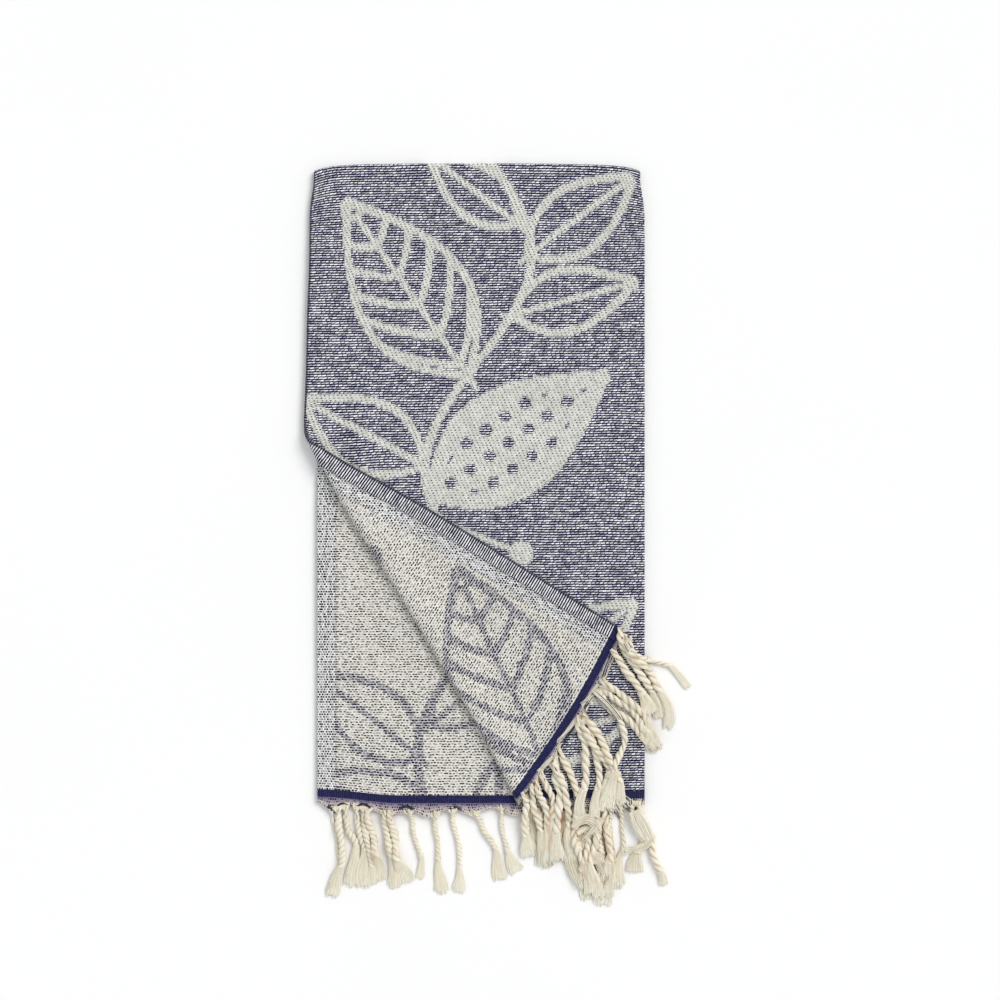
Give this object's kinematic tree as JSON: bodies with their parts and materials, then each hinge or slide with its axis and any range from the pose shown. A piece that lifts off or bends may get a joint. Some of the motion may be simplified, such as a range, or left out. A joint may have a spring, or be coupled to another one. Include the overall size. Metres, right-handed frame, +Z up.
{
  "type": "turkish towel",
  "caption": "Flat-woven towel folded into a long rectangle, one corner turned back to show its pale reverse, with knotted cord fringe at its ends.",
  "frame": {"origin": "middle of the folded towel's whole reach, fringe included, on the surface it lies on", "axes": "+Y along the folded towel from the fringed ends to the top fold, +X across it towards the lengthwise fold, +Z up from the surface"},
  "size_m": [0.5414, 1.0408, 0.0269],
  "materials": {
    "towel_cloth": "matte double cloth, navy with cream figures on its face and cream with navy lines on its reverse",
    "fringe_yarn": "matte ivory two-ply cotton cord"
  },
  "bodies": {
    "root": {"towel": "towel_cloth", "fringe_flap": "fringe_yarn", "fringe_front": "fringe_yarn", "fringe_under": "fringe_yarn", "fringe_back_inner": "fringe_yarn", "fringe_back_outer": "fringe_yarn"}
  },
  "joints": []
}
